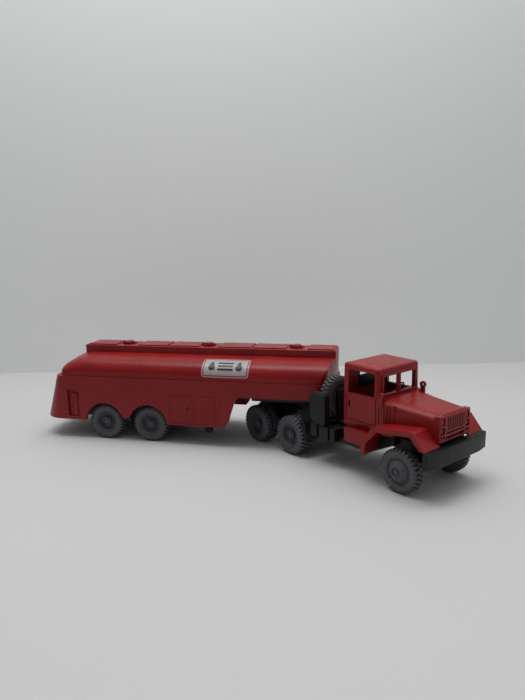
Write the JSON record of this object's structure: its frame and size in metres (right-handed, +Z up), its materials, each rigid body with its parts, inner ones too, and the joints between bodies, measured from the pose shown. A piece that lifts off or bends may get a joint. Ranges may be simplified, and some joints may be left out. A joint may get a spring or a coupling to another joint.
{
  "type": "toy tank truck",
  "caption": "Moulded plastic toy tank truck: hard-top tractor coupled to a skirted fuel tank semi-trailer, with rolling axles and a swivelling coupling.",
  "frame": {"origin": "on the ground under the kingpin, midway between the trailer's sides", "axes": "+X forward along the trailer's centre line, +Y to the trailer's left, +Z up; the tractor is turned 36.75 degrees to the right at rest"},
  "size_m": [0.1473, 0.0659, 0.0323],
  "materials": {
    "red_plastic": "semi-gloss",
    "black_plastic": "satin",
    "wheel_plastic": "satin",
    "axle_steel": "drawn wire"
  },
  "bodies": {
    "trailer": {"tank_shell": "red_plastic", "catwalk_box": "red_plastic", "manhole_lids": "red_plastic", "skirt_body": "red_plastic", "trailer_chassis": "black_plastic", "rubbing_plate": "black_plastic", "kingpin": "axle_steel"},
    "tractor": {"cab_body": "red_plastic", "cab_roof": "red_plastic", "cab_interior": "red_plastic", "rear_blind": "black_plastic", "steering_wheel": "black_plastic", "chassis_frame": "black_plastic", "front_bumper": "black_plastic", "front_axle_casing": "black_plastic", "mid_axle_casing": "black_plastic", "rear_axle_casing": "black_plastic", "fifth_wheel": "black_plastic", "spare_carrier": "black_plastic", "tall_box": "black_plastic", "step_boxes": "black_plastic", "fuel_tank": "black_plastic", "mud_guards": "black_plastic", "spare_wheel": "wheel_plastic"},
    "landing_legs": {"landing_gear": "black_plastic"},
    "front_axle": {"front_shaft": "axle_steel", "front_wheel_right": "wheel_plastic", "front_wheel_left": "wheel_plastic"},
    "mid_axle": {"mid_shaft": "axle_steel", "mid_wheel_right": "wheel_plastic", "mid_wheel_left": "wheel_plastic"},
    "rear_axle": {"rear_shaft": "axle_steel", "rear_wheel_right": "wheel_plastic", "rear_wheel_left": "wheel_plastic"},
    "trailer_rear_axle": {"trailer_rear_shaft": "axle_steel", "trailer_rear_wheel_right": "wheel_plastic", "trailer_rear_wheel_left": "wheel_plastic"},
    "trailer_front_axle": {"trailer_front_shaft": "axle_steel", "trailer_front_wheel_right": "wheel_plastic", "trailer_front_wheel_left": "wheel_plastic"}
  },
  "joints": [
    {"name": "kingpin_turn", "type": "hinge", "parent": "trailer", "child": "tractor", "pos_m": [0, 0, 0.0155], "axis": [0, 0, 1], "range_deg": [-48.25, 121.75]},
    {"name": "front_axle_roll", "type": "hinge", "parent": "tractor", "child": "front_axle", "pos_m": [0.03958, -0.02956, 0.0062], "axis": [0.5983, 0.8013, 0], "continuous": true},
    {"name": "mid_axle_roll", "type": "hinge", "parent": "tractor", "child": "mid_axle", "pos_m": [0.00685, -0.00512, 0.0062], "axis": [0.5983, 0.8013, 0], "continuous": true},
    {"name": "rear_axle_roll", "type": "hinge", "parent": "tractor", "child": "rear_axle", "pos_m": [-0.00633, 0.00473, 0.0062], "axis": [0.5983, 0.8013, 0], "continuous": true},
    {"name": "trailer_rear_axle_roll", "type": "hinge", "parent": "trailer", "child": "trailer_rear_axle", "pos_m": [-0.0668, 0, 0.0061], "axis": [0, 1, 0], "continuous": true},
    {"name": "trailer_front_axle_roll", "type": "hinge", "parent": "trailer", "child": "trailer_front_axle", "pos_m": [-0.0504, 0, 0.0061], "axis": [0, 1, 0], "continuous": true},
    {"name": "landing_gear_drop", "type": "slide", "parent": "trailer", "child": "landing_legs", "axis": [0, 0, -1], "range_m": [0, 0.0028]}
  ]
}
